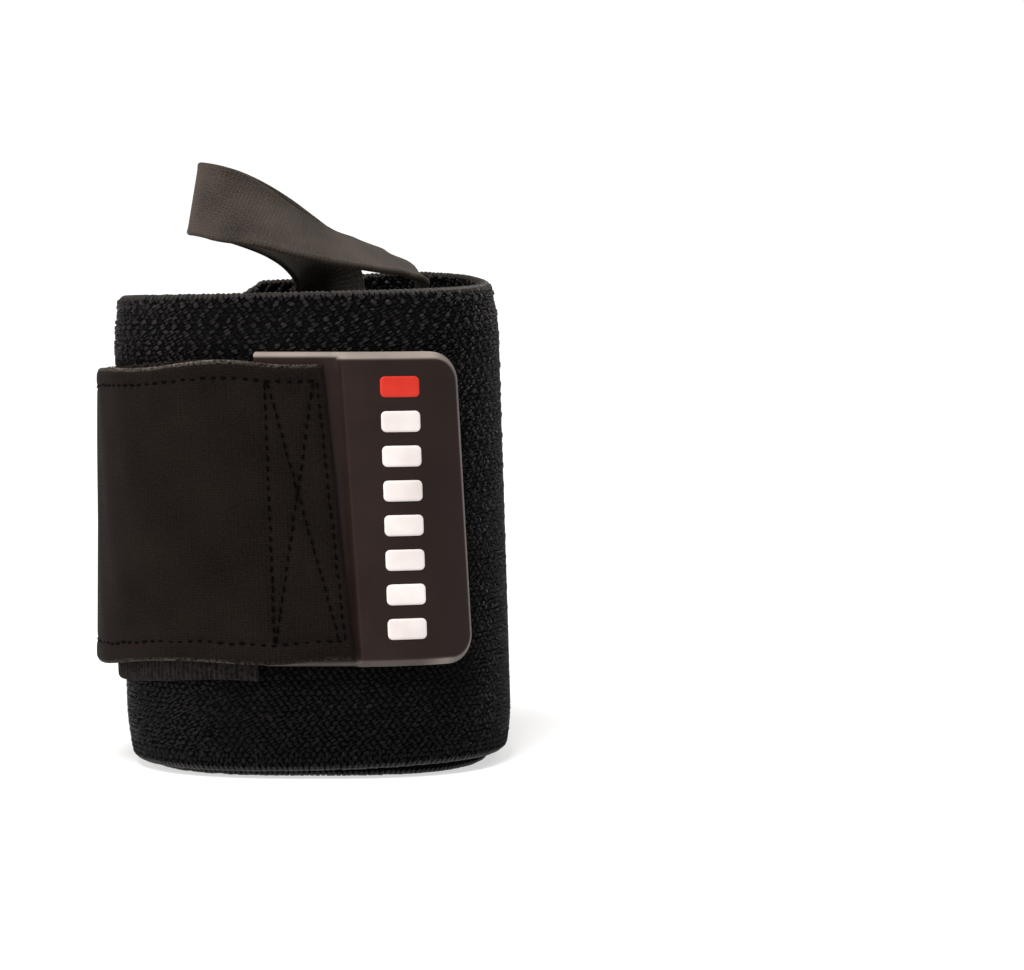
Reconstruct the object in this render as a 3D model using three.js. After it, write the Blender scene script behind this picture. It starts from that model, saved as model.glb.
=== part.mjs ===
// A wrist wrap rolled up for storage, standing on the edge of its elastic band.
// The band is wound into an oval roll with an open core. A closure strap is sewn to its outer end,
// comes round the left side and holds the roll shut with a hook strip and a rubber pull tab.
// A thumb loop, sewn inside the innermost winding, stands out of the top.
// Millimetres, +Z up. Seen from above, angles run from the right (0) over the back (90) and the
// left (180) to the front (270), where the closure ends.
import * as THREE from "three";

// Elastic band
const BAND_WIDTH = 80;
const BAND_THICKNESS = 2.3;
const WINDING_GAP = 0.6;
const TURNS = 3.5;
const OUTER_END_ANGLE = 127;
const END_TAPER_LENGTH = 11;
const END_TAPER_CUT = 6.5;
const TURN_CLIMB = 5.2;
const EDGE_CURL = 1.5;
const EDGE_CURL_REACH = 10;

// Oval that the outer end of the band lies on, and how far the roll leans to the left per mm of height
const ROLL_HALF_WIDTH = 35.3;
const ROLL_HALF_DEPTH = 30.75;
const ROLL_SQUARENESS = 2.5;
const ROLL_LEAN = 0.029;

// Clearance between two pieces that lie on each other
const SEAT_GAP = 0.3;

// Closure strap. Distances along the roll's face are measured from its front middle, to the right.
const STRAP_WIDTH = 50;
const STRAP_THICKNESS = 1.3;
const STRAP_ROOT_ANGLE = 82;
const STRAP_END = 4.7;
const STRAP_END_SLANT = 3.4;
const STRAP_BULGE = 1.9;

// Hook strip under the strap
const HOOK_WIDTH = 53.6;
const HOOK_THICKNESS = 1;
const HOOK_LENGTH = 50;
const HOOK_DROP = 1.5;

// Rubber pull tab: a thin flange under the strap's end, then a thick body
const TAB_WIDTH = 52.5;
const TAB_FLANGE_THICKNESS = 1.2;
const TAB_BODY_THICKNESS = 2.6;
const TAB_LAP = 10.9;
const TAB_STEP_GAP = 0.4;
const TAB_STEP_SPREAD = 1.6;
const TAB_STEP_RAMP = 0.4;
const TAB_REACH = 26.9;
const TAB_SLANT = 1.7;
const TAB_CORNER = 5;
const TAB_HEIGHT_SHARE = 0.571;

// Thumb loop
const LOOP_WIDTH = 12.8;
const LOOP_THICKNESS = 1.2;
const LOOP_RISE = 17.6;
const LOOP_TAIL = 22;
const LOOP_BACK_ANGLE = 77;
const LOOP_SIDE_ANGLE = 9;

// How far the outer turn has slid up past the turns inside it, by turns in from the outer end.
// The two edges are shares of TURN_CLIMB.
const CLIMB_TABLE = [
  { turnsIn: 0.0, upper: 0.65, lower: 0.5 },
  { turnsIn: 0.08, upper: 0.75, lower: 0.5 },
  { turnsIn: 0.21, upper: 1.0, lower: 0.42 },
  { turnsIn: 0.33, upper: 0.72, lower: 0.32 },
  { turnsIn: 0.48, upper: 0.48, lower: 0.37 },
  { turnsIn: 0.6, upper: 0.38, lower: 0.25 },
  { turnsIn: 0.85, upper: 0.19, lower: 0.15 },
  { turnsIn: 1.1, upper: 0.0, lower: 0.0 },
];

// Free run of the strap, from the band's outer end (along 0) to the strap's own end (along 1).
// The middle height is a share of BAND_WIDTH, and the lower edge's lift off the roll of STRAP_BULGE.
const STRAP_TABLE = [
  { along: 0.0, middle: 0.562, lift: 0.0 },
  { along: 0.17, middle: 0.545, lift: 0.75 },
  { along: 0.34, middle: 0.536, lift: 1.0 },
  { along: 0.49, middle: 0.543, lift: 0.8 },
  { along: 0.65, middle: 0.557, lift: 0.32 },
  { along: 0.75, middle: 0.566, lift: 0.05 },
  { along: 0.81, middle: 0.566, lift: 0.0 },
  { along: 0.9, middle: 0.562, lift: 0.0 },
  { along: 1.0, middle: 0.567, lift: 0.0 },
];
const STRAP_SETTLED = 0.3;

// Free run of the thumb loop, from its back leg over the bend to its side leg. Across and deep are
// shares of the oval's half width and half depth, rise is a share of LOOP_RISE above the band.
// Tilt lays the ribbon's width over from upright (0) to flat (90), towards the heading in swing:
// 0 to the back, 90 to the right.
const LOOP_TABLE = [
  { across: 0.1, deep: 0.5, rise: 0.2, tilt: 86, swing: 76 },
  { across: 0.04, deep: 0.385, rise: 0.443, tilt: 64, swing: 46 },
  { across: -0.11, deep: 0.27, rise: 0.715, tilt: 44, swing: 34 },
  { across: -0.345, deep: 0.145, rise: 0.945, tilt: 20, swing: 50 },
  { across: -0.507, deep: -0.065, rise: 1.01, tilt: 10, swing: 90 },
  { across: -0.39, deep: -0.26, rise: 0.965, tilt: 9, swing: 0 },
  { across: -0.161, deep: -0.31, rise: 0.8, tilt: 39, swing: 0 },
  { across: -0.006, deep: -0.29, rise: 0.665, tilt: 53, swing: 0 },
  { across: 0.181, deep: -0.23, rise: 0.53, tilt: 66, swing: 0 },
  { across: 0.32, deep: -0.14, rise: 0.46, tilt: 73, swing: 0 },
  { across: 0.47, deep: -0.01, rise: 0.37, tilt: 82, swing: 0 },
  { across: 0.575, deep: 0.085, rise: 0.24, tilt: 88, swing: -5 },
];

// Depths below the band's upper edge at which the loop's legs lie on the core's wall,
// as shares of EDGE_CURL_REACH; the foot of each leg lies LOOP_TAIL down.
const LOOP_SEAT_SHARES = [1, 0.6, 0.3, 0];

// Faces along each piece
const FACES_PER_TURN = 36;
const STRAP_FACES = 42;
const HOOK_FACES = 16;
const TAB_LAP_FACES = 6;
const TAB_BODY_FACES = 12;
const CORNER_FACES = 5;
const LOOP_FACES = 60;

const FULL_TURN = 360;
const FRONT_ANGLE = 270;
const WALK_STEP = 0.5;
const WINDING_PITCH = BAND_THICKNESS + WINDING_GAP;
const { degToRad, lerp, clamp, smoothstep } = THREE.MathUtils;

// Smooth curve through one column of a table, as a function of another column.
function tableCurve(table, key, value) {
  const keys = table.map((row) => row[key]);
  const values = table.map((row) => row[value]);
  const curve = new THREE.CubicInterpolant(keys, values, 1, [0]);
  return (at) => curve.evaluate(clamp(at, keys[0], keys[keys.length - 1]))[0];
}

// Closed solid of a bent sheet. columnStops and rowStops are the shares of its length and width where
// its faces meet, and place(along, up, side) gives the point there on its inner (0) or outer (1) face.
function sheetSolid(columnStops, rowStops, place) {
  const rows = rowStops.length;
  const corner = (column, row, side) => (column * rows + row) * 2 + side;
  const positions = [];
  for (const along of columnStops) {
    for (const up of rowStops) {
      for (const side of [0, 1]) positions.push(...place(along, up, side).toArray());
    }
  }
  const faces = [];
  const quad = (a, b, c, d) => faces.push(a, b, c, a, c, d);
  const lastColumn = columnStops.length - 1;
  const lastRow = rows - 1;
  for (let i = 0; i < lastColumn; i++) {
    for (let j = 0; j < lastRow; j++) {
      quad(corner(i, j, 1), corner(i + 1, j, 1), corner(i + 1, j + 1, 1), corner(i, j + 1, 1));
      quad(corner(i, j, 0), corner(i, j + 1, 0), corner(i + 1, j + 1, 0), corner(i + 1, j, 0));
    }
    quad(corner(i, 0, 0), corner(i + 1, 0, 0), corner(i + 1, 0, 1), corner(i, 0, 1));
    quad(corner(i, lastRow, 1), corner(i + 1, lastRow, 1), corner(i + 1, lastRow, 0), corner(i, lastRow, 0));
  }
  for (let j = 0; j < lastRow; j++) {
    quad(corner(0, j, 0), corner(0, j, 1), corner(0, j + 1, 1), corner(0, j + 1, 0));
    quad(
      corner(lastColumn, j, 1),
      corner(lastColumn, j, 0),
      corner(lastColumn, j + 1, 0),
      corner(lastColumn, j + 1, 1),
    );
  }
  const geometry = new THREE.BufferGeometry();
  geometry.setAttribute("position", new THREE.Float32BufferAttribute(positions, 3));
  geometry.setIndex(faces);
  geometry.computeVertexNormals();
  return geometry;
}

// Evenly spaced shares from 0 to 1.
function evenStops(faces) {
  return Array.from({ length: faces + 1 }, (_, i) => i / faces);
}

// Distance from the roll's axis to the oval.
function ovalRadius(angle) {
  const across = Math.abs(Math.cos(degToRad(angle))) / ROLL_HALF_WIDTH;
  const deep = Math.abs(Math.sin(degToRad(angle))) / ROLL_HALF_DEPTH;
  return (across ** ROLL_SQUARENESS + deep ** ROLL_SQUARENESS) ** (-1 / ROLL_SQUARENESS);
}

function windingAngle(turnsIn) {
  return OUTER_END_ANGLE - FULL_TURN * turnsIn;
}

// Outer face of the band, a number of turns in from its outer end.
function windingRadius(turnsIn) {
  return ovalRadius(windingAngle(turnsIn)) - WINDING_PITCH * turnsIn;
}

// Outer face of the whole roll, at angles past the band's outer end.
function faceRadius(angle) {
  return windingRadius((OUTER_END_ANGLE + FULL_TURN - angle) / FULL_TURN);
}

// Point of the leaning roll.
function rollPoint(angle, radius, height) {
  const turned = degToRad(angle);
  return new THREE.Vector3(
    radius * Math.cos(turned) - ROLL_LEAN * height,
    radius * Math.sin(turned),
    height,
  );
}

// Angle at which the roll's face lies a distance from its front middle, to the right where positive.
function angleAt(distance) {
  const step = WALK_STEP * Math.sign(distance);
  let angle = FRONT_ANGLE;
  let left = Math.abs(distance);
  while (left > 0) {
    const from = rollPoint(angle, faceRadius(angle), 0);
    const length = from.distanceTo(rollPoint(angle + step, faceRadius(angle + step), 0));
    angle += step * Math.min(1, left / length);
    left -= length;
  }
  return angle;
}

const upperClimb = tableCurve(CLIMB_TABLE, "turnsIn", "upper");
const lowerClimb = tableCurve(CLIMB_TABLE, "turnsIn", "lower");

// How far the band's edges curl in towards the roll's axis. The curl fades from turn to turn,
// by half the gap between them, so that no two windings meet.
function edgeCurl(turnsIn, height, top) {
  const low = Math.max(0, 1 - height / EDGE_CURL_REACH);
  const high = Math.max(0, 1 - (top - height) / EDGE_CURL_REACH);
  const depth = Math.max(0, EDGE_CURL - (WINDING_GAP / 2) * turnsIn);
  return depth * (low ** 2 + high ** 2);
}

// Heights of the band's lower and upper edge, cut back towards its outer end.
function bandEdges(turnsIn) {
  const lower = TURN_CLIMB * lowerClimb(turnsIn);
  const upper = BAND_WIDTH + TURN_CLIMB * upperClimb(turnsIn);
  const fromEnd = degToRad(FULL_TURN * turnsIn) * ovalRadius(OUTER_END_ANGLE);
  const cut = END_TAPER_CUT * Math.max(0, 1 - fromEnd / END_TAPER_LENGTH);
  return { lower: lower + cut, upper: upper - cut, uncut: upper };
}

function elasticWrap() {
  const curl = EDGE_CURL_REACH / BAND_WIDTH;
  const lowStops = [0, curl / 4, curl / 2, curl];
  const rowStops = [...lowStops, 0.5, ...lowStops.map((stop) => 1 - stop).reverse()];
  return sheetSolid(evenStops(Math.round(TURNS * FACES_PER_TURN)), rowStops, (along, up, side) => {
    const turnsIn = TURNS * (1 - along);
    const edges = bandEdges(turnsIn);
    const height = lerp(edges.lower, edges.upper, up);
    const inset = edgeCurl(turnsIn, height, edges.uncut) + BAND_THICKNESS * (1 - side);
    return rollPoint(windingAngle(turnsIn), windingRadius(turnsIn) - inset, height);
  });
}

const strapMiddle = tableCurve(STRAP_TABLE, "along", "middle");
const strapLift = tableCurve(STRAP_TABLE, "along", "lift");
const STRAP_SEAT = SEAT_GAP * 2 + Math.max(HOOK_THICKNESS, TAB_FLANGE_THICKNESS);
const STRAP_END_ANGLE = angleAt(STRAP_END);

// Share of the strap's free run, from the band's outer end on.
function strapShare(angle) {
  return (angle - OUTER_END_ANGLE) / (STRAP_END_ANGLE - OUTER_END_ANGLE);
}

function strapHeight(angle) {
  return BAND_WIDTH * strapMiddle(strapShare(angle));
}

// Inner face of the strap: sewn on the band's outer end, then down onto the hook strip and the tab,
// standing off the roll's left side most at its lower edge (up 0).
function strapRadius(angle, up) {
  if (angle <= OUTER_END_ANGLE) {
    return windingRadius((OUTER_END_ANGLE - angle) / FULL_TURN) + SEAT_GAP;
  }
  const share = strapShare(angle);
  const settled = smoothstep(share, 0, STRAP_SETTLED);
  const seat = lerp(WINDING_PITCH + SEAT_GAP, STRAP_SEAT, settled);
  const lift = STRAP_BULGE * Math.max(0, strapLift(share)) * (1 - up);
  return faceRadius(angle) + seat + lift;
}

function closureStrap() {
  const slanted = (up) => angleAt(STRAP_END + STRAP_END_SLANT * (1 - up));
  return sheetSolid(evenStops(STRAP_FACES), evenStops(4), (along, up, side) => {
    const angle = lerp(STRAP_ROOT_ANGLE, slanted(up), along);
    const height = strapHeight(angle) + STRAP_WIDTH * (up - 0.5);
    return rollPoint(angle, strapRadius(angle, up) + STRAP_THICKNESS * side, height);
  });
}

const TAB_LEFT = STRAP_END - TAB_LAP;

function hookPatch() {
  const right = angleAt(TAB_LEFT - HOOK_THICKNESS - SEAT_GAP);
  const left = angleAt(TAB_LEFT - HOOK_THICKNESS - SEAT_GAP - HOOK_LENGTH);
  return sheetSolid(evenStops(HOOK_FACES), evenStops(2), (along, up, side) => {
    const angle = lerp(left, right, along);
    const height = strapHeight(angle) - HOOK_DROP + HOOK_WIDTH * (up - 0.5);
    return rollPoint(angle, faceRadius(angle) + SEAT_GAP + HOOK_THICKNESS * side, height);
  });
}

// How far a round corner draws the tab's right end back, at a height share of its width.
function cornerInset(up) {
  const fromEdge = TAB_WIDTH * Math.min(up, 1 - up);
  const into = Math.max(0, TAB_CORNER - fromEdge);
  return TAB_CORNER - Math.sqrt(TAB_CORNER ** 2 - into ** 2);
}

function pullTab() {
  const lap = 1;
  const ramp = 2;
  const body = 3;
  const flangeStops = evenStops(TAB_LAP_FACES);
  const bodyStops = evenStops(TAB_BODY_FACES).map((stop) => ramp + stop * (body - ramp));
  const corner = evenStops(CORNER_FACES).map((stop) => 1 - Math.cos((stop * Math.PI) / 2));
  const lowStops = corner.map((stop) => (stop * TAB_CORNER) / TAB_WIDTH);
  const rowStops = [...lowStops, 0.5, ...lowStops.map((stop) => 1 - stop).reverse()];
  return sheetSolid([...flangeStops, ...bodyStops], rowStops, (along, up, side) => {
    const slant = 1 - up;
    const step = STRAP_END + STRAP_END_SLANT * slant + TAB_STEP_GAP + TAB_STEP_SPREAD * up;
    const right = TAB_REACH + TAB_SLANT * slant - cornerInset(up);
    const distance =
      along <= lap
        ? lerp(TAB_LEFT, step, along)
        : lerp(step + TAB_STEP_RAMP, right, along - ramp);
    const thickness = along <= lap ? TAB_FLANGE_THICKNESS : TAB_BODY_THICKNESS;
    const angle = angleAt(distance);
    const height = BAND_WIDTH * TAB_HEIGHT_SHARE + TAB_WIDTH * (up - 0.5);
    return rollPoint(angle, faceRadius(angle) + SEAT_GAP + thickness * side, height);
  });
}

// Inner face of the innermost winding.
function coreRadius(angle, height) {
  const first = THREE.MathUtils.euclideanModulo((OUTER_END_ANGLE - angle) / FULL_TURN, 1);
  const turnsIn = first + Math.floor(TURNS - first);
  return windingRadius(turnsIn) - BAND_THICKNESS - edgeCurl(turnsIn, height, BAND_WIDTH);
}

// Distance from the axis at which the middle of a flat ribbon lies on the core's hollow wall,
// so that its two edges clear it.
function seatRadius(angle, height) {
  const reach = coreRadius(angle, height);
  const halfAngle = THREE.MathUtils.radToDeg(Math.asin(LOOP_WIDTH / 2 / reach));
  const sides = [-1, 0, 1].map((side) => {
    const turned = side * halfAngle;
    return coreRadius(angle + turned, height) * Math.cos(degToRad(turned));
  });
  return Math.min(...sides) - SEAT_GAP - LOOP_THICKNESS / 2;
}

// Points of one leg of the loop on the core's wall, from its foot up to the band's edge.
function legPoints(angle, swing) {
  const depths = [LOOP_TAIL, ...LOOP_SEAT_SHARES.map((share) => share * EDGE_CURL_REACH)];
  return depths.map((depth) => {
    const height = BAND_WIDTH - depth;
    return { point: rollPoint(angle, seatRadius(angle, height), height), tilt: 90, swing };
  });
}

function thumbLoop() {
  const free = LOOP_TABLE.map((row) => {
    const height = BAND_WIDTH + LOOP_RISE * row.rise;
    const point = new THREE.Vector3(
      ROLL_HALF_WIDTH * row.across - ROLL_LEAN * height,
      ROLL_HALF_DEPTH * row.deep,
      height,
    );
    return { point, tilt: row.tilt, swing: row.swing };
  });
  const backLeg = legPoints(LOOP_BACK_ANGLE, FULL_TURN / 2 - LOOP_BACK_ANGLE);
  const sideLeg = legPoints(LOOP_SIDE_ANGLE, -LOOP_SIDE_ANGLE).reverse();
  const rows = [...backLeg, ...free, ...sideLeg].map((row, index) => ({ ...row, index }));
  const path = new THREE.CatmullRomCurve3(rows.map((row) => row.point));
  const tiltAt = tableCurve(rows, "index", "tilt");
  const swingAt = tableCurve(rows, "index", "swing");
  return sheetSolid(evenStops(LOOP_FACES), evenStops(2), (along, up, side) => {
    const index = path.getUtoTmapping(along) * (rows.length - 1);
    const tilt = degToRad(tiltAt(index));
    const swing = degToRad(swingAt(index));
    const ahead = path.getTangentAt(along);
    const wide = new THREE.Vector3(
      Math.sin(tilt) * Math.sin(swing),
      Math.sin(tilt) * Math.cos(swing),
      Math.cos(tilt),
    );
    wide.addScaledVector(ahead, -wide.dot(ahead)).normalize();
    const face = new THREE.Vector3().crossVectors(ahead, wide);
    return path
      .getPointAt(along)
      .addScaledVector(wide, LOOP_WIDTH * (up - 0.5))
      .addScaledVector(face, LOOP_THICKNESS * (side - 0.5));
  });
}

const cloth = (color, roughness) => new THREE.MeshStandardMaterial({ color, roughness, metalness: 0 });

const PIECES = [
  { name: "elastic_wrap", geometry: elasticWrap(), material: cloth(0x17161a, 0.95) },
  { name: "closure_strap", geometry: closureStrap(), material: cloth(0x1f1b19, 0.9) },
  { name: "hook_patch", geometry: hookPatch(), material: cloth(0x211d1c, 0.85) },
  { name: "pull_tab", geometry: pullTab(), material: cloth(0x2e2523, 0.6) },
  { name: "thumb_loop", geometry: thumbLoop(), material: cloth(0x3f3a36, 0.9) },
];

const roll = new THREE.Group();
for (const { name, geometry, material } of PIECES) {
  const mesh = new THREE.Mesh(geometry, material);
  mesh.name = name;
  roll.add(mesh);
}

// The origin is under the middle of the part's box.
const box = new THREE.Box3().setFromObject(roll);
const middle = box.getCenter(new THREE.Vector3());
roll.position.set(-middle.x, -middle.y, -box.min.z);

const wristWrap = new THREE.Group();
wristWrap.add(roll);

export default wristWrap;
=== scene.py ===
"""Looks of a rolled wrist wrap: knitted elastic band, sewn strap, hook strip, rubber tab and thumb loop.

Lengths are millimetres in the roll's own frame, with the roll's axis at the origin, and become metres in
the part's frame as each mesh is made. Seen from above, angles run from the right (0) over the back (90)
and the left (180) to the front (270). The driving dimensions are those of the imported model.
"""

import bpy
import numpy as np
from mathutils import Euler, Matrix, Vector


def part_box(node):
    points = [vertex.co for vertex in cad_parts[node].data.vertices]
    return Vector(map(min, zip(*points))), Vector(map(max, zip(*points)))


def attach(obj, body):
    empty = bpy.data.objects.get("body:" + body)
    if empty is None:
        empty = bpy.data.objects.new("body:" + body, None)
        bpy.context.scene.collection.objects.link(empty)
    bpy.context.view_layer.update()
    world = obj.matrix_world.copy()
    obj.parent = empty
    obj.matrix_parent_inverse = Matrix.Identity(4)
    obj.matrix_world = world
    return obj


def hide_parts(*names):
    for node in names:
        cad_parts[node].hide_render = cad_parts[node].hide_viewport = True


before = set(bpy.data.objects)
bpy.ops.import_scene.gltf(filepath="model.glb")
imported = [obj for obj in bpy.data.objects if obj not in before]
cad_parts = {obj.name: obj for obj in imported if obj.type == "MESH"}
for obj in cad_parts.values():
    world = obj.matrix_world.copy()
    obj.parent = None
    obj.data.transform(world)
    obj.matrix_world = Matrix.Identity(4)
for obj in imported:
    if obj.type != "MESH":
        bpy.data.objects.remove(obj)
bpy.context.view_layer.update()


def table(columns, *rows):
    """Rows with named columns."""
    names = columns.split()
    return [dict(zip(names, row)) for row in rows]


MM = 0.001
FULL_TURN = 360.0
FRONT_ANGLE = 270.0

# Elastic band
BAND_WIDTH = 80.0
BAND_THICKNESS = 2.3
WINDING_GAP = 0.6
WINDING_PITCH = BAND_THICKNESS + WINDING_GAP
CAD_FACES_PER_TURN = 36
CAD_CURL_STOPS = np.array([0, 0.25, 0.5, 1])
TURNS = 3.5
OUTER_END_ANGLE = 127.0
END_TAPER_LENGTH = 11.0
END_TAPER_CUT = 6.5
TURN_CLIMB = 5.2
EDGE_CURL = 1.5
EDGE_CURL_REACH = 10.0

# Oval of the roll, and its lean to the left per mm of height
ROLL_HALF_WIDTH = 35.3
ROLL_HALF_DEPTH = 30.75
ROLL_SQUARENESS = 2.5
ROLL_LEAN = 0.029

SEAT_GAP = 0.3

# Points of the tables that turn distances along the band and its face into angles
WINDING_POINTS = 6000
FACE_POINTS = 3000
FACE_MARGIN = 1.0

# Closure strap; distances along the roll's face run from its front middle, to the right
STRAP_WIDTH = 50.0
STRAP_THICKNESS = 1.3
STRAP_ROOT_ANGLE = 82.0
STRAP_END = 4.7
STRAP_END_SLANT = 3.4
STRAP_BULGE = 1.9
STRAP_SETTLED = 0.3
STRAP_COLUMNS = 230
STRAP_STOPS = ([0, 0.006, 0.014, 0.024], 0.032, 96)
STRAP_ROUGH_LENGTH = 115.0
STRAP_ROUNDING = 0.45
STRAP_ROUND_REACH = 0.9
STRAP_INNER_ROUNDING = 0.8
STRAP_INNER_GAP = 0.1
HEM_RAISE = 0.12
HEM_FADES = (4.2, 2.6)
LONG_WAVE = {"height": 0.10, "along": 0.31, "start": 1.2, "across": 5.0}
SHORT_WAVE = {"height": 0.06, "along": 0.83, "across": 9.0}
EDGE_WAVE = {"height": 0.35, "along": 0.22, "start": -2.6}

# Hook strip
HOOK_WIDTH = 53.6
HOOK_THICKNESS = 1.0
HOOK_LENGTH = 50.0
HOOK_DROP = 1.5
HOOK_RIB_PITCH = 0.85
HOOK_RIB_HEIGHT = 0.14
HOOK_STOPS_PER_RIB = 6
HOOK_STOPS = ([0, 0.008], 0.02, 14)
HOOK_ROUNDING = 0.3
HOOK_ROUND_REACH = 0.5

# Rubber pull tab
TAB_WIDTH = 52.5
TAB_FLANGE_THICKNESS = 1.2
TAB_BODY_THICKNESS = 2.6
TAB_LAP = 10.9
TAB_STEP_GAP = 0.4
TAB_STEP_SPREAD = 1.6
TAB_STEP_RAMP = 0.4
TAB_REACH = 26.9
TAB_SLANT = 1.7
TAB_CORNER = 5.0
TAB_HEIGHT_SHARE = 0.571
TAB_LEFT = STRAP_END - TAB_LAP
TAB_BEVEL = 1.3
TAB_BEVEL_DEPTH = 1.0
TAB_BEVEL_CURVE = 1.4
TAB_STEP_BEVEL = 2.5
TAB_FLANGE_COLUMNS = 22
TAB_COLUMNS = 60
TAB_ROWS = 56
TAB_FIRST_ROW = 0.1
TAB_CORNER_STOPS = 14
TAB_EDGE_STOPS = np.array([0.12, 0.3, 0.5, 0.75, 1.0, 1.25, 1.5, 1.9])
TAB_START_STOPS = np.array([0.1, 0.25, 0.45, 0.7, 1.0])
HOOK_RIGHT = TAB_LEFT - HOOK_THICKNESS - SEAT_GAP

# Plain raised bars in a column on the tab; heights are shares of the tab's width
MARK_COUNT = 8
MARK_LOWEST = 0.12
MARK_STEP = 0.11
MARK_LEFT = 13.2
MARK_LENGTH = 6.2
MARK_WIDTH = 3.5
MARK_RAISE = 0.22
MARK_CORNER = 0.8
MARK_ROUNDING = 0.35
MARK_SINK = 0.1
MARK_COLUMNS = 25
MARK_ROWS = 17

# Thumb loop
LOOP_WIDTH = 12.8
LOOP_THICKNESS = 1.2
LOOP_RISE = 17.6
LOOP_TAIL = 22.0
LOOP_BACK_ANGLE = 77.0
LOOP_SIDE_ANGLE = 9.0
LOOP_COLUMNS = 300
LOOP_STOPS = ([0, 0.012, 0.03, 0.055, 0.08], 0.1, 22)
LOOP_SELVEDGE_SHARE = 0.14
LOOP_SELVEDGE = 0.6
LOOP_SELVEDGE_REACH = 0.5
LOOP_ROUND_REACH = 0.45
LOOP_CROWN = 0.25

# Ground cloth that the knit stands on
GROUND_COLUMNS = 520
GROUND_ROWS = 25
GROUND_END_INSET = 0.3
GROUND_EDGE_INSET = 0.5
KNIT_RELIEF = 0.42
KNIT_SINK = 0.12

# Knit of the band: brick rows of short strands that rise to the right, over a lattice of knobs and hollows
STITCH_PITCH = 1.3
STITCH_ROWS = 90
STITCH_MARGIN = 1.2
STITCH_END_MARGIN = 1.5
STRAND_LENGTH = 1.4
STRAND_WIDTH = 0.48
STRAND_HEIGHT_SHARE = 1.6
STRAND_DIP = 0.3
STRAND_STEP = 0.4
STRAND_SLANT = 27.0
STRAND_JITTER = {"along": 0.1, "up": 0.07, "turn": 11, "length": 0.14, "width": 0.12, "shade": 0.14}
KNOB_PITCH = 2.8
KNOB_ROW = 2.25
HOLLOW_TOP = 0.44
HOLLOW_LOW = 0.12
# Painted shade: how much darker the strands in the hollows are made
HOLLOW_PAINTED_SHADE = 1.2
BORDER_SLANT = 76.0
BORDER_WIDTH = 3.0
RIM_WIDTH = 2.1
RIM_SWELL = 1.3
# Painted highlight: how much lighter the swollen rim row is made
RIM_PAINTED_HIGHLIGHT = 0.4
KNIT_SHADE = 0.08
GLINT_FROM = 1.7

# Knit pieces: turns in from the outer end, how far down from the rims they are seen, and what hides them
OUTER_KNIT_TURNS = 1.02
OUTER_KNIT_CUTS = (0.34, 0.62)
BACK_RIM_TURNS = 0.7
BACK_RIM_REACH = 7.0
CORE_SEEN = 42.0
CORE_STRAND_WIDTH = 1.7 * STRAND_WIDTH
DEEP_STRAND_WIDTH = 2 * STRAND_WIDTH
HIDDEN_MARGIN = 1.5
HIDDEN_ROOT_MARGIN = 4.0

# Bound end and bound edges of the band
BINDING_PITCH = 0.75
BINDING_LENGTH = 2.8
BINDING_INSET = 0.2
SELVEDGE_PITCH = 0.95
SELVEDGE_SPREAD = 0.62
SELVEDGE_RADIUS = 0.32
SELVEDGE_DROP = 0.8
SELVEDGE_BEND = 2.2
SELVEDGE_JITTER = 0.05
SELVEDGE_OVERHANG = 0.02
SELVEDGE_INSETS = (0.8, 0.5)

# Sewing thread
THREAD_PITCH = 1.65
THREAD_LENGTH = 1.15
THREAD_WIDTH = 0.36
SEAM_DEPTH = 0.28
SEAM_WIDTH = 0.6
SEAM_OVERRUN = 0.5
SEAM_PUCKER = 0.2
TOP_SEAM_INSET = 2.9
LOW_SEAM_INSET = 3.4
END_SEAM_INSET = 1.3
BOX_TOP_LEFT = -4.3
BOX_LOW_LEFT = -4.1
ROOT_SEAM_INSET = 2.2
ROOT_SEAM_LENGTH = 17.0

# Worn fibres along the strap's edges, and fuzz along the hook strip's
FRAY_COUNT = 420
FRAY_END = -10.0
FUZZ_COUNT = 170
FUZZ_INSET = 0.15

# Painted light on the knit: how much each cause adds to the strands' shade, and between which shares of the
# band's height it comes in
# height: painted light on the upper band; knob: painted highlights on the knobs' tops there; glint: painted
# glints on a few strands
PAINTED_LIGHT_TABLE = table(
    "cause adds low high",
    ("height", 0.4, 0.3, 0.9),
    ("knob", 0.34, 0.5, 0.9),
    ("glint", 0.45, 0.4, 0.9),
)

# How far the band's edges climb in its outer turns, as shares of TURN_CLIMB
CLIMB_TABLE = table(
    "turns_in upper lower",
    (0.0, 0.65, 0.5),
    (0.08, 0.75, 0.5),
    (0.21, 1.0, 0.42),
    (0.33, 0.72, 0.32),
    (0.48, 0.48, 0.37),
    (0.6, 0.38, 0.25),
    (0.85, 0.19, 0.15),
    (1.1, 0.0, 0.0),
)

# Height of the strap's middle as a share of the band's width, and its bulge, along its free part
STRAP_TABLE = table(
    "along middle lift",
    (0.0, 0.562, 0.0),
    (0.17, 0.545, 0.75),
    (0.34, 0.536, 1.0),
    (0.49, 0.543, 0.8),
    (0.65, 0.557, 0.32),
    (0.75, 0.566, 0.05),
    (0.81, 0.566, 0.0),
    (0.9, 0.562, 0.0),
    (1.0, 0.567, 0.0),
)

# Middle line of the free ribbon, in shares of the roll's size and the loop's rise, and its turns in degrees
LOOP_TABLE = table(
    "across deep rise tilt swing",
    (0.1, 0.5, 0.2, 86, 76),
    (0.04, 0.385, 0.443, 64, 46),
    (-0.11, 0.27, 0.715, 44, 34),
    (-0.345, 0.145, 0.945, 20, 50),
    (-0.507, -0.065, 1.01, 10, 90),
    (-0.39, -0.26, 0.965, 9, 0),
    (-0.161, -0.31, 0.8, 39, 0),
    (-0.006, -0.29, 0.665, 53, 0),
    (0.181, -0.23, 0.53, 66, 0),
    (0.32, -0.14, 0.46, 73, 0),
    (0.47, -0.01, 0.37, 82, 0),
    (0.575, 0.085, 0.24, 88, -5),
)
LOOP_SEAT_SHARES = [1, 0.6, 0.3, 0]

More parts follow.
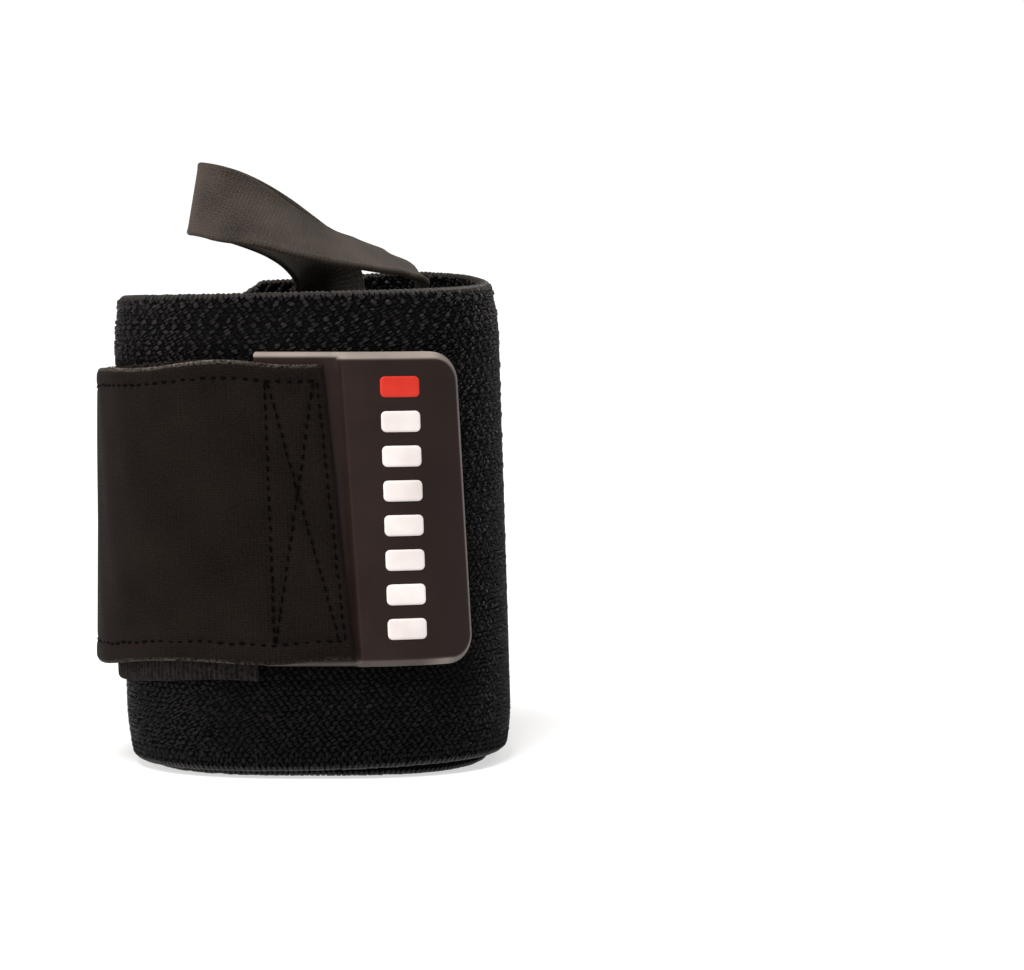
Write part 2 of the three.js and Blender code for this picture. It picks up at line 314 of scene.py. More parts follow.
# Camera of the photograph, in the roll's frame
CAMERA_DISTANCE = 550.0
CAMERA_RIGHT = 34.3
CAMERA_HEIGHT = 86.0
CAMERA_DOWN = 3.98
SENSOR_WIDTH = 36.0
FOCAL_LENGTH = 110.25

# Looks: colours where dark and light, the colour that wear and painted light go over to, and sizes in mm
# except the relief, in metres
YARNS = table(
    "name dark light roughness specular sheen",
    ("knit_yarn", (0.0009, 0.0008, 0.0010), (0.0360, 0.0308, 0.0325), 0.25, 0.18, 0.0),
    ("edge_yarn", (0.0032, 0.0026, 0.0024), (0.027, 0.0208, 0.0178), 0.45, 0.3, 0.02),
    ("frayed_yarn", (0.02, 0.017, 0.015), (0.11, 0.095, 0.08), 0.7, 0.2, 0.05),
    ("thread_yarn", (0.0010, 0.0009, 0.0009), (0.0032, 0.0028, 0.0027), 0.8, 0.03, 0.0),
)
CLOTHS = table(
    "name dark light worn roughness specular pitch relief sheen grain",
    ("knit_ground", (0.0012, 0.0012, 0.0014), (0.0035, 0.0034, 0.0038), (0.01, 0.01, 0.01),
     0.95, 0.02, 0.9, 0.00015, 0.0, 1.7),
    ("strap_cloth", (0.0038, 0.0024, 0.0020), (0.0102, 0.0068, 0.0056), (0.20, 0.17, 0.15),
     0.85, 0.05, 0.58, 0.0001, 0.015, 2.4),
    ("hook_cloth", (0.0045, 0.0033, 0.0035), (0.0105, 0.0078, 0.0080), (0.04, 0.034, 0.03),
     0.75, 0.08, 0.5, 0.00008, 0.03, 1.7),
    # The loop's third colour is dark: painted shade on the ribbon's back leg, and its darker edges
    ("loop_cloth", (0.0135, 0.0108, 0.0090), (0.064, 0.0505, 0.0415), (0.012, 0.010, 0.008),
     0.8, 0.12, 0.62, 0.00011, 0.06, 3.5),
)
RUBBERS = table(
    "name dark light worn roughness",
    # The tab's third colour is pale: edge wear together with a painted highlight on its bevels
    ("tab_rubber", (0.0130, 0.0066, 0.0052), (0.0178, 0.0094, 0.0076), (0.27, 0.235, 0.21), 0.5),
    ("mark_white", (0.66, 0.60, 0.58), (0.80, 0.76, 0.74), (0.8, 0.8, 0.8), 0.45),
    ("mark_red", (0.48, 0.02, 0.012), (0.62, 0.035, 0.02), (0.7, 0.1, 0.06), 0.45),
)

# Light of the studio, the brightness of the pale backdrop as the camera sees it, and the floor in metres
AMBIENT = 0.4
BACKDROP = 1.05
FLOOR_GREY = 0.4
FLOOR_GLOW = 0.6
FLOOR_REACH = 30.0

random = np.random.default_rng(7)


# Tables and curves

def table_curve(table, key, value):
    """Smooth curve through one column of a table, as a function of another column."""
    keys = np.array([row[key] for row in table], float)
    values = np.array([row[value] for row in table], float)
    steps = np.diff(values) / np.diff(keys)
    slopes = np.concatenate([steps[:1], (steps[1:] + steps[:-1]) / 2, steps[-1:]])

    def curve(at):
        at = np.clip(at, keys[0], keys[-1])
        i = np.clip(np.searchsorted(keys, at, side="right") - 1, 0, len(keys) - 2)
        span = keys[i + 1] - keys[i]
        u = (at - keys[i]) / span
        start = (1 + 2 * u) * (1 - u) ** 2 * values[i] + u * (1 - u) ** 2 * span * slopes[i]
        end = u**2 * (3 - 2 * u) * values[i + 1] + u**2 * (u - 1) * span * slopes[i + 1]
        return start + end

    return curve


def smoothstep(value, low, high):
    share = np.clip((value - low) / (high - low), 0, 1)
    return share * share * (3 - 2 * share)


def vectors(first, second, third):
    return np.stack(np.broadcast_arrays(first, second, third), axis=-1)


def eased_stops(count):
    """Shares from 0 to 1, closer together near both ends."""
    return (1 - np.cos(np.linspace(0, np.pi, count))) / 2


def edged_stops(edge, first, count):
    """Shares from 0 to 1: those given near both ends, and even ones from the first between them."""
    return np.concatenate([edge, np.linspace(first, 1 - first, count), 1 - np.array(edge[::-1])])


def from_ends(share, length):
    """Distance from the nearer end, at a share of a length."""
    return length * np.minimum(share, 1 - share)


# The roll

def oval_radius(angle):
    across = np.abs(np.cos(np.radians(angle))) / ROLL_HALF_WIDTH
    deep = np.abs(np.sin(np.radians(angle))) / ROLL_HALF_DEPTH
    return (across**ROLL_SQUARENESS + deep**ROLL_SQUARENESS) ** (-1 / ROLL_SQUARENESS)


def winding_angle(turns_in):
    return OUTER_END_ANGLE - FULL_TURN * turns_in


def winding_radius(turns_in):
    """Outer face of the band, a number of turns in from its outer end."""
    return oval_radius(winding_angle(turns_in)) - WINDING_PITCH * turns_in


def face_radius(angle):
    """Outer face of the whole roll, at angles past the band's outer end."""
    return winding_radius((OUTER_END_ANGLE + FULL_TURN - angle) / FULL_TURN)


def roll_point(angle, radius, height):
    turned = np.radians(angle)
    x = radius * np.cos(turned) - ROLL_LEAN * height
    y = radius * np.sin(turned)
    return vectors(x, y, height)


def walked(points):
    """Distance along a row of points, from the first."""
    steps = np.linalg.norm(np.diff(points, axis=0), axis=1)
    return np.concatenate([[0.0], np.cumsum(steps)])


turn_grid = np.linspace(0, TURNS, WINDING_POINTS)
turn_walk = walked(roll_point(winding_angle(turn_grid), winding_radius(turn_grid), 0.0))
band_length = turn_walk[-1]
face_angles = np.linspace(
    OUTER_END_ANGLE + FACE_MARGIN, OUTER_END_ANGLE + FULL_TURN - FACE_MARGIN, FACE_POINTS)
face_walk = walked(roll_point(face_angles, face_radius(face_angles), 0.0))
face_walk -= np.interp(FRONT_ANGLE, face_angles, face_walk)


def turns_at(distance):
    """Turns in from the band's outer end, at a distance along it."""
    return np.interp(distance, turn_walk, turn_grid)


def distance_at(turns_in):
    return np.interp(turns_in, turn_grid, turn_walk)


def angle_at(distance):
    """Angle at which the roll's face lies a distance from its front middle."""
    return np.interp(distance, face_walk, face_angles)


upper_climb = table_curve(CLIMB_TABLE, "turns_in", "upper")
lower_climb = table_curve(CLIMB_TABLE, "turns_in", "lower")


def edge_curl(turns_in, height, top):
    low = np.maximum(0, 1 - height / EDGE_CURL_REACH)
    high = np.maximum(0, 1 - (top - height) / EDGE_CURL_REACH)
    depth = np.maximum(0, EDGE_CURL - WINDING_GAP / 2 * turns_in)
    return depth * (low**2 + high**2)


def band_edges(turns_in):
    """Heights of the band's lower and upper edge, and of the upper one before it is cut back."""
    lower = TURN_CLIMB * lower_climb(turns_in)
    upper = BAND_WIDTH + TURN_CLIMB * upper_climb(turns_in)
    from_end = np.radians(FULL_TURN * turns_in) * oval_radius(OUTER_END_ANGLE)
    cut = END_TAPER_CUT * np.maximum(0, 1 - from_end / END_TAPER_LENGTH)
    return lower + cut, upper - cut, upper


def band_point(distance, height, depth):
    """Point of the band, a depth in from its outer face."""
    turns_in = turns_at(distance)
    top = band_edges(turns_in)[2]
    radius = winding_radius(turns_in) - edge_curl(turns_in, height, top) - depth
    return roll_point(winding_angle(turns_in), radius, height)


# The closure

strap_middle = table_curve(STRAP_TABLE, "along", "middle")
strap_lift = table_curve(STRAP_TABLE, "along", "lift")
STRAP_SEAT = SEAT_GAP * 2 + max(HOOK_THICKNESS, TAB_FLANGE_THICKNESS)
strap_end_angle = angle_at(STRAP_END)


def strap_share(angle):
    return (angle - OUTER_END_ANGLE) / (strap_end_angle - OUTER_END_ANGLE)


def strap_height(angle):
    return BAND_WIDTH * strap_middle(strap_share(angle))


def strap_radius(angle, up):
    """Inner face of the strap, from the band's outer end down onto the hook strip and the tab."""
    share = strap_share(angle)
    settled = smoothstep(share, 0, STRAP_SETTLED)
    seat = WINDING_PITCH + SEAT_GAP + (STRAP_SEAT - WINDING_PITCH - SEAT_GAP) * settled
    lift = STRAP_BULGE * np.maximum(0, strap_lift(share)) * (1 - up)
    free = face_radius(angle) + seat + lift
    sewn = winding_radius(np.maximum(0, OUTER_END_ANGLE - angle) / FULL_TURN) + SEAT_GAP
    return np.where(angle <= OUTER_END_ANGLE, sewn, free)


def strap_point(angle, up, outset):
    height = strap_height(angle) + STRAP_WIDTH * (up - 0.5)
    return roll_point(angle, strap_radius(angle, up) + STRAP_THICKNESS + outset, height)


def tab_step(up):
    return STRAP_END + STRAP_END_SLANT * (1 - up) + TAB_STEP_GAP + TAB_STEP_SPREAD * up


def tab_right(up):
    """Right end of the tab, drawn back at its round corners."""
    into = np.maximum(0, TAB_CORNER - from_ends(up, TAB_WIDTH))
    inset = TAB_CORNER - np.sqrt(np.maximum(0, TAB_CORNER**2 - into**2))
    return TAB_REACH + TAB_SLANT * (1 - up) - inset


def face_point(distance, height, outset):
    """Point of what lies on the roll's face, outset from its own inner side."""
    angle = angle_at(distance)
    return roll_point(angle, face_radius(angle) + SEAT_GAP + outset, height)


def tab_point(distance, up, outset):
    return face_point(distance, BAND_WIDTH * TAB_HEIGHT_SHARE + TAB_WIDTH * (up - 0.5), outset)


def hook_height(distance, up):
    return strap_height(angle_at(distance)) - HOOK_DROP + HOOK_WIDTH * (up - 0.5)


# Meshes

def frame_shift():
    """The roll's axis in the part's frame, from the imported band's box and that of the same faces here."""
    low = np.array(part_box("elastic_wrap")[0]) / MM
    turns_in = np.linspace(0, TURNS, int(TURNS * CAD_FACES_PER_TURN) + 1)[:, None]
    curl = EDGE_CURL_REACH / BAND_WIDTH * CAD_CURL_STOPS
    stops = np.concatenate([curl, [0.5], 1 - curl])[None, :]
    lower, upper, top = band_edges(turns_in)
    heights = lower + (upper - lower) * stops
    radius = winding_radius(turns_in) - edge_curl(turns_in, heights, top)
    points = roll_point(winding_angle(turns_in), radius, heights)
    return np.array([low[0] - points[..., 0].min(), low[1] - points[..., 1].min(), 0.0])


FRAME_SHIFT = frame_shift()


def add_object(name, data):
    piece = bpy.data.objects.new(name, data)
    bpy.context.scene.collection.objects.link(piece)
    return piece


def add_mesh(name, points, faces, look, maps, node):
    """A smooth mesh object from points in the roll's frame, with a map vector for each point."""
    mesh = bpy.data.meshes.new(name)
    mesh.from_pydata((points + FRAME_SHIFT) * MM, [], faces)
    mesh.validate()
    mesh.polygons.foreach_set("use_smooth", np.ones(len(mesh.polygons), bool))
    layer = mesh.attributes.new("place", "FLOAT_VECTOR", "POINT")
    layer.data.foreach_set("vector", np.asarray(maps, np.float32).ravel())
    mesh.materials.append(looks[look])
    piece = add_object(name, mesh)
    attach(piece, "root")
    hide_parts(node)
    return piece


def sheet_faces(columns, rows):
    """Faces of a closed sheet whose points run by column, row and side (0 inner, 1 outer)."""
    index = np.arange(columns * rows * 2).reshape(columns, rows, 2)
    inner, outer = index[:, :, 0], index[:, :, 1]

    def quads(a, b, c, d):
        return np.stack([a.ravel(), b.ravel(), c.ravel(), d.ravel()], axis=1)

    parts = [
        quads(outer[:-1, :-1], outer[1:, :-1], outer[1:, 1:], outer[:-1, 1:]),
        quads(inner[:-1, :-1], inner[:-1, 1:], inner[1:, 1:], inner[1:, :-1]),
        quads(inner[:-1, 0], inner[1:, 0], outer[1:, 0], outer[:-1, 0]),
        quads(outer[:-1, -1], outer[1:, -1], inner[1:, -1], inner[:-1, -1]),
        quads(inner[0, :-1], outer[0, :-1], outer[0, 1:], inner[0, 1:]),
        quads(outer[-1, :-1], inner[-1, :-1], inner[-1, 1:], outer[-1, 1:]),
    ]
    return np.concatenate(parts).tolist()


def add_sheet(name, inner, outer, maps, look, node):
    """A closed sheet from two grids of points that share a grid of map vectors."""
    columns, rows = inner.shape[:2]
    points = np.stack([inner, outer], axis=2).reshape(-1, 3)
    places = np.stack([maps, maps], axis=2).reshape(-1, 3)
    return add_mesh(name, points, sheet_faces(columns, rows), look, places, node)


def strand_shape(sides, rings):
    """Unit strand along x from -1 to 1: its points and faces, with pointed ends."""
    stops = np.linspace(-1, 1, rings + 2)[1:-1, None]
    round_it = np.arange(sides) / sides * 2 * np.pi + np.pi / 2
    girth = np.sqrt(1 - stops**2) ** 0.8
    ring = vectors(stops, girth * np.cos(round_it), girth * np.sin(round_it))
    points = np.concatenate([[[-1.0, 0, 0]], ring.reshape(-1, 3), [[1.0, 0, 0]]])
    faces = []
    last = 1 + rings * sides
    for j in range(sides):
        k = (j + 1) % sides
        faces.append((0, 1 + k, 1 + j))
        for i in range(rings - 1):
            a, b = 1 + i * sides + j, 1 + i * sides + k
            faces.append((a, b, b + sides))
            faces.append((a, b + sides, a + sides))
        faces.append((last, last - sides + j, last - sides + k))
    return points, np.array(faces)


def add_copies(name, points, faces, look, maps, node):
    """Many copies of one shape as one mesh, from points and maps that run by copy and then by point."""
    count, per = points.shape[:2]
    all_faces = (faces[None] + (np.arange(count) * per)[:, None, None]).reshape(-1, 3)
    return add_mesh(name, points.reshape(-1, 3), all_faces.tolist(), look, maps.reshape(-1, 3), node)


def strand_table(first, second, turn, length, width, height, shade, dip=0.0, depth=0.0):
    """Rows for add_strands, from a value for each strand or one for all of them.

    They are a strand's middle (two values), direction in degrees, length, width, height, a shade from 0
    to 1, how far its ends dip and how deep it lies.
    """
    columns = (first, second, turn, length, width, height, shade, dip, depth)
    return np.column_stack(np.broadcast_arrays(*columns))


def add_strands(name, rows, place, look, node, sides=4, rings=3):
    """Strands as one mesh. place(first, second, out) gives points in the roll's frame."""
    shape, faces = strand_shape(sides, rings)
    first, second, turn, length, width, height, shade, dip, depth = rows.T[:, :, None]
    x, y, z = shape.T[:, None]
    along = x * length / 2
    side = y * width / 2
    out = z * height / 2 - dip * x**2 - depth
    cos, sin = np.cos(np.radians(turn)), np.sin(np.radians(turn))
    points = place(first + along * cos - side * sin, second + along * sin + side * cos, out)
    return add_copies(name, points, faces, look, vectors(along, y, shade), node)


# Materials

def feed(tree, node, values):
    """Links the sockets among the values to a node's inputs, and sets its inputs to the other values."""
    for key, value in values.items():
        if isinstance(value, bpy.types.NodeSocket):
            tree.links.new(value, node.inputs[key])
        else:
            node.inputs[key].default_value = value


def add_node(tree, kind, values, **settings):
    """Outputs of a new node."""
    node = tree.nodes.new(kind)
    for key, setting in settings.items():
        setattr(node, key, setting)
    feed(tree, node, values)
    return node.outputs


class Look:
    """A material while it is built. The mesh's map holds a place along and across it, and a shade, which
    also carries wear and painted light.
    """

    def __init__(self, name):
        self.material = bpy.data.materials.new(name)
        self.material.use_nodes = True
        self.tree = self.material.node_tree
        self.place = self.add("ShaderNodeAttribute", {}, attribute_name="place")["Vector"]

    def add(self, kind, values, **settings):
        return add_node(self.tree, kind, values, **settings)

    def shade(self, values):
        feed(self.tree, self.tree.nodes["Principled BSDF"], values)

    def split_place(self):
        return self.add("ShaderNodeSeparateXYZ", {0: self.place})

    def math(self, operation, *values):
        return self.add("ShaderNodeMath", dict(enumerate(values)), operation=operation)[0]

    def mixed(self, first, first_share, second, second_share):
        """Sum of a share of each of two values."""
        first_part = self.math("MULTIPLY", first, first_share)
        return self.math("ADD", first_part, self.math("MULTIPLY", second, second_share))

    def wave(self, value, pitch):
        """Soft ridges from 0 to 1, one for each pitch."""
        swing = self.math("SINE", self.math("MULTIPLY", value, 2 * np.pi / pitch))
        return self.math("MULTIPLY_ADD", swing, 0.5, 0.5)

    def noise(self, scale, detail):
        values = {"Vector": self.place, "Scale": scale, "Detail": detail}
        return self.add("ShaderNodeTexNoise", values)["Fac"]

    def ramp(self, value, low, dark, high, light):
        node = self.tree.nodes.new("ShaderNodeValToRGB")
        first, last = node.color_ramp.elements
        first.position, last.position = low, high
        first.color, last.color = (*dark, 1), (*light, 1)
        feed(self.tree, node, {"Fac": value})
        return node.outputs["Color"]

    def colour(self, plain, worn, wear_and_painted_light):
        """The plain colour, a socket, going over to the colour for wear and painted light as that amount
        goes to 1.
        """
        values = {"Factor": wear_and_painted_light, "A": plain, "B": (*worn, 1)}
        self.shade({"Base Color": self.add("ShaderNodeMix", values, data_type="RGBA")["Result"]})

    def bump(self, height, distance, strength):
        values = {"Height": height, "Distance": distance, "Strength": strength}
        self.shade({"Normal": self.add("ShaderNodeBump", values)["Normal"]})

    def sheen(self, weight, roughness, tint):
        self.shade({"Sheen Weight": weight, "Sheen Roughness": roughness, "Sheen Tint": (*tint, 1)})


def yarn_material(name, dark, light, roughness, specular, sheen):
    """Spun yarn: fine filaments along each strand, shade varied from strand to strand."""
    look = Look(name)
    look.shade({"Roughness": roughness, "Specular IOR Level": specular})
    look.sheen(sheen, roughness=0.4, tint=(0.9, 0.85, 0.9))
    along, around, shade = look.split_place()
    tone = look.mixed(shade, 0.6, look.noise(scale=2.4, detail=4.0), 0.5)
    look.shade({"Base Color": look.ramp(tone, 0.2, dark, 0.95, light)})
    twisted = look.math("ADD", look.math("MULTIPLY", around, 1.3), along)
    look.bump(look.wave(twisted, pitch=0.42), distance=0.00012, strength=0.8)
    return look.material


def woven_material(name, dark, light, worn, roughness, specular, pitch, relief, sheen, grain):
    """Fine weave: crossing threads at a pitch, over slow changes of shade, another colour where the map
    marks wear and painted shade.
    """
    look = Look(name)
    look.shade({"Roughness": roughness, "Specular IOR Level": specular})
    look.sheen(sheen, roughness=0.5, tint=(0.9, 0.85, 0.8))
    along, up, shade = look.split_place()
    weave = look.math("MULTIPLY", look.wave(along, pitch), look.wave(up, pitch * 0.8))
    slow = look.noise(scale=0.09, detail=3.0)
    fine = look.noise(scale=grain, detail=4.0)
    cloth = look.ramp(look.mixed(slow, 0.45, fine, 0.55), 0.36, dark, 0.64, light)
    patchy = look.add("ShaderNodeMapRange", {"Value": fine, "From Min": 0.4, "From Max": 0.62})[0]
    look.colour(cloth, worn, look.math("MULTIPLY", shade, patchy))
    look.bump(look.math("ADD", weave, look.math("MULTIPLY", fine, 0.5)), distance=relief, strength=0.7)
    return look.material


def rubber_material(name, dark, light, worn, roughness):
    """Moulded rubber: satin, with a faint pebble, a few dusty patches and paler edges, partly rubbed and
    partly a painted highlight.
    """
    look = Look(name)
    slow = look.noise(scale=0.12, detail=4.0)
    rough = {"Value": slow, "To Min": roughness - 0.06, "To Max": roughness + 0.1}
    look.shade({"Roughness": look.add("ShaderNodeMapRange", rough)[0], "Specular IOR Level": 0.15})
    wear_and_painted_light = look.math("MULTIPLY", look.split_place()[2], look.math("ADD", slow, 0.4))
    look.colour(look.ramp(slow, 0.3, dark, 0.7, light), worn, wear_and_painted_light)
    look.bump(look.noise(scale=5.0, detail=3.0), distance=0.00005, strength=0.5)
    return look.material


looks = {row["name"]: yarn_material(**row) for row in YARNS}
looks.update({row["name"]: woven_material(**row) for row in CLOTHS})
looks.update({row["name"]: rubber_material(**row) for row in RUBBERS})


# Pieces

def elastic_band():
    """The band's ground cloth, a little thinner than the knit that stands on it."""
    distance = np.linspace(band_length - GROUND_END_INSET, GROUND_END_INSET, GROUND_COLUMNS)[:, None]
    lower, upper, _ = band_edges(turns_at(distance))
    share = eased_stops(GROUND_ROWS)[None, :]
    height = lower + GROUND_EDGE_INSET + (upper - lower - 2 * GROUND_EDGE_INSET) * share
    outer = band_point(distance, height, KNIT_RELIEF)
    inner = band_point(distance, height, BAND_THICKNESS - KNIT_RELIEF)
    maps = vectors(distance, height, 0.0)
    return add_sheet("elastic_band", inner, outer, maps, "knit_ground", "elastic_wrap")


def under_closure(distance, height):
    """True where the strap, hook strip or tab hides the band's face."""
    turns_in = turns_at(distance)
    winding = winding_angle(turns_in)
    angle = np.mod(winding - OUTER_END_ANGLE, FULL_TURN) + OUTER_END_ANGLE

    def hidden(at, start, end, middle, width):
        return (at > start) & (at < end) & (np.abs(height - middle) < width / 2 - HIDDEN_MARGIN)

    strap = hidden(angle, OUTER_END_ANGLE, strap_end_angle, strap_height(angle), STRAP_WIDTH)
    tab_end = angle_at(TAB_REACH - HIDDEN_MARGIN)
    tab = hidden(angle, FRONT_ANGLE, tab_end, BAND_WIDTH * TAB_HEIGHT_SHARE, TAB_WIDTH)
    hook_start, hook_end = angle_at(TAB_LEFT - HOOK_LENGTH), angle_at(TAB_LEFT - HIDDEN_MARGIN)
    hook = hidden(angle, hook_start, hook_end, strap_height(angle) - HOOK_DROP, HOOK_WIDTH)
    root_start = STRAP_ROOT_ANGLE + HIDDEN_ROOT_MARGIN
    root = hidden(winding, root_start, FULL_TURN, strap_height(winding), STRAP_WIDTH)
    return ((turns_in < 1) & (strap | tab | hook)) | root


def stitch_grid(start, end, spacing=1, face_out=False):
    """Middles of the knit's stitches between two distances along the band, in brick rows."""
    middles = []
    columns = np.arange(np.ceil(start / STITCH_PITCH), np.ceil(end / STITCH_PITCH))
    for row in range(0, STITCH_ROWS, spacing):
        distance = (columns + 0.5 * (row // spacing % 2)) * STITCH_PITCH
        lower, upper, _ = band_edges(turns_at(distance))
        share = row / (STITCH_ROWS - 1)
        height = lower + STITCH_MARGIN + (upper - lower - 2 * STITCH_MARGIN) * share
        kept = ~under_closure(distance, height) if face_out else np.full(len(distance), True)
        middles.append(np.stack([distance[kept], height[kept]], axis=1))
    return np.concatenate(middles)


def added_painted_light(share):
    """Painted light that each cause in the table adds to the knit's shade at a share of the band's height.
    """
    return {row["cause"]: row["adds"] * smoothstep(share, row["low"], row["high"]) for row in PAINTED_LIGHT_TABLE}


def strand_rows(middles, strands, width):
    """Strands of each stitch: deep and with painted shade in the hollows, swollen and with a painted
    highlight at the rim, upright in the border.
    """
    distance, height = np.repeat(middles, strands, axis=0).T
    shift = STRAND_STEP * (np.tile(np.arange(strands), len(middles)) - (strands - 1) / 2)
    lower, upper, _ = band_edges(turns_at(distance))
    share = (height - lower) / (upper - lower)
    knob = np.cos(2 * np.pi * distance / KNOB_PITCH) * np.cos(2 * np.pi * (upper - height) / KNOB_ROW)
    hollow = (1 - knob) / 2 * (HOLLOW_LOW + (HOLLOW_TOP - HOLLOW_LOW) * smoothstep(share, 0.2, 0.95))
    slant = np.where(height - lower < BORDER_WIDTH, BORDER_SLANT, STRAND_SLANT)
    swell = np.where(upper - height < RIM_WIDTH, RIM_SWELL, 1.0)
    chance = random.normal(0, 1, (len(distance), 6)).T
    jitter = {key: size * by for (key, size), by in zip(STRAND_JITTER.items(), chance)}
    # The strands' shade with painted light: painted shade in the hollows, a painted highlight on the rim
    # row, and the table's painted light, knob highlights and glints
    painted_light = added_painted_light(share)
    shade = KNIT_SHADE + jitter["shade"] - HOLLOW_PAINTED_SHADE * hollow + RIM_PAINTED_HIGHLIGHT * (swell - 1)
    shade = shade + (chance[5] > GLINT_FROM) * painted_light["glint"] + painted_light["height"] + knob * painted_light["knob"]
    return strand_table(
        distance + shift * np.sin(np.radians(slant)) + jitter["along"],
        height + shift * np.cos(np.radians(slant)) + jitter["up"],
        180 - slant + jitter["turn"],
        length=STRAND_LENGTH * (1 + jitter["length"]),
        width=width * (1 + jitter["width"]) * swell,
        height=width * STRAND_HEIGHT_SHARE * swell,
        shade=np.clip(shade, 0, 1),
        dip=STRAND_DIP,
        depth=hollow,
    )


def end_binding():
    """Strands that bind the band's cut outer end, one above the other."""
    lower, upper, _ = band_edges(turns_at(BINDING_LENGTH / 2))
    height = np.arange(lower + STITCH_MARGIN, upper - STITCH_MARGIN, BINDING_PITCH)
    chance = random.normal(0, 1, (len(height), 3)).T
    length = BINDING_LENGTH * (1 + 0.04 * chance[1])
    shade = np.clip(0.3 + 0.1 * chance[2], 0, 1)
    middle = BINDING_LENGTH / 2 + BINDING_INSET
    return strand_table(
        middle, height, 4 * chance[0], length, BINDING_PITCH, height=0.8, shade=shade, dip=0.4, depth=-0.2)


def on_outer_face(first, second, out):
    return band_point(first, second, KNIT_RELIEF - KNIT_SINK - out)


def on_inner_face(first, second, out):
    return band_point(first, second, BAND_THICKNESS - KNIT_RELIEF + KNIT_SINK + out)


def outer_knit():
    """Stitches on the outer turn in three pieces, the first with the binding of the cut end."""
    cuts = [STITCH_END_MARGIN] + [distance_at(turns) for turns in (*OUTER_KNIT_CUTS, OUTER_KNIT_TURNS)]
    pieces = []
    for i, name in enumerate(("knit_right", "knit_front", "knit_left")):
        rows = strand_rows(stitch_grid(cuts[i], cuts[i + 1], face_out=True), 2, STRAND_WIDTH)
        if i == 0:
            rows = np.concatenate([rows, end_binding()])
        pieces.append(add_strands(name, rows, on_outer_face, "knit_yarn", "elastic_wrap"))
    return pieces


def core_knit():
    """Stitches on the wall of the core, fewer and larger where it is deep."""
    start, end = distance_at(TURNS - OUTER_KNIT_TURNS), band_length - STITCH_END_MARGIN
    seen_from = BAND_WIDTH - CORE_SEEN
    near = stitch_grid(start, end)
    deep = stitch_grid(start, end, spacing=2)
    rows = np.concatenate([
        strand_rows(near[near[:, 1] > seen_from], 1, CORE_STRAND_WIDTH),
        strand_rows(deep[deep[:, 1] < seen_from], 1, DEEP_STRAND_WIDTH)])
    return add_strands("knit_core", rows, on_inner_face, "knit_yarn", "elastic_wrap", rings=2)


def back_rim_knit():
    """Stitches on the inner face of the outer turn, where it shows behind the loop."""
    middles = stitch_grid(STITCH_END_MARGIN, distance_at(BACK_RIM_TURNS))
    tops = band_edges(turns_at(middles[:, 0]))[1]
    rows = strand_rows(middles[middles[:, 1] > tops - BACK_RIM_REACH], 2, STRAND_WIDTH)
    return add_strands("knit_rim", rows, on_inner_face, "knit_yarn", "elastic_wrap")


def selvedge():
    """Bound edges of the band: small loops of yarn over its rims, on every turn."""
    shape, faces = strand_shape(5, 4)
    x, y, z = shape.T[:, None]
    start, end = SELVEDGE_INSETS
    distances = np.arange(start, band_length - end, SELVEDGE_PITCH)
    points, maps = [], []
    for which, up in ((1, 1), (0, -1)):
        chance = random.normal(0, 1, (len(distances), 3, 1))
        along = distances[:, None] + SELVEDGE_JITTER * chance[:, 0] + y * SELVEDGE_PITCH * SELVEDGE_SPREAD
        edge = band_edges(turns_at(along))[which]
        across = BAND_THICKNESS / 2 + x * (BAND_THICKNESS / 2 + SELVEDGE_OVERHANG)
        drop = SELVEDGE_RADIUS + SELVEDGE_DROP * np.abs(x) ** SELVEDGE_BEND
        drop = drop + SELVEDGE_JITTER * np.abs(chance[:, 1])
        points.append(band_point(along, edge - up * drop + z * SELVEDGE_RADIUS, across))
        # Painted light: loops on the upper rim are made lighter and those on the lower rim darker
        maps.append(vectors(x, y, np.clip(0.45 + 0.3 * up + 0.25 * chance[:, 2], 0, 1)))
    return add_copies(
        "selvedge", np.concatenate(points), faces, "edge_yarn", np.concatenate(maps), "elastic_wrap")


def sewn_distance(angle):
    """Distance, from the roll's front middle, at an angle where the strap is sewn to the band."""
    return face_walk[0] - np.radians(OUTER_END_ANGLE - angle) * ROLL_HALF_DEPTH


ROOT_START = sewn_distance(STRAP_ROOT_ANGLE)


def strap_angle(distance):
    """Angle of the strap at a distance from the roll's front middle, also where it is sewn to the band."""
    sewn = OUTER_END_ANGLE - np.degrees((face_walk[0] - distance) / ROLL_HALF_DEPTH)
    return np.where(distance < face_walk[0], sewn, angle_at(distance))


def seam_lines():
    """Seams of the strap: both ends of each, as (distance, height share)."""
    root = ROOT_START + ROOT_SEAM_INSET
    box_end = root + ROOT_SEAM_LENGTH
    top, low = 1 - TOP_SEAM_INSET / STRAP_WIDTH, LOW_SEAM_INSET / STRAP_WIDTH
    right_top = STRAP_END - END_SEAM_INSET + STRAP_END_SLANT * (1 - top)
    right_low = STRAP_END - END_SEAM_INSET + STRAP_END_SLANT * (1 - low)
    return {
        "top": ((root, top), (right_top, top)),
        "low": ((root, low), (right_low, low)),
        "left": ((BOX_TOP_LEFT, top), (BOX_LOW_LEFT, low)),
        "right": ((right_top, top), (right_low, low)),
        "falling": ((BOX_TOP_LEFT + 0.4, top), (right_low - 0.8, low)),
        "rising": ((BOX_LOW_LEFT + 0.2, low), (right_top - 0.5, top)),
        "root": ((root, top), (root, low)),
        "box_end": ((box_end, top), (box_end, low)),
        "box_falling": ((root, top), (box_end, low)),
        "box_rising": ((root, low), (box_end, top)),
    }


def seam_points(line):
    """Middles and direction of the stitches along a seam, in distance and height share."""
    (a0, b0), (a1, b1) = line
    length = np.hypot(a1 - a0, (b1 - b0) * STRAP_WIDTH)
    count = max(2, int(length / THREAD_PITCH))
    share = (np.arange(count) + 0.5) / count
    turn = np.degrees(np.arctan2((b1 - b0) * STRAP_WIDTH, a1 - a0))
    return a0 + (a1 - a0) * share, b0 + (b1 - b0) * share, turn


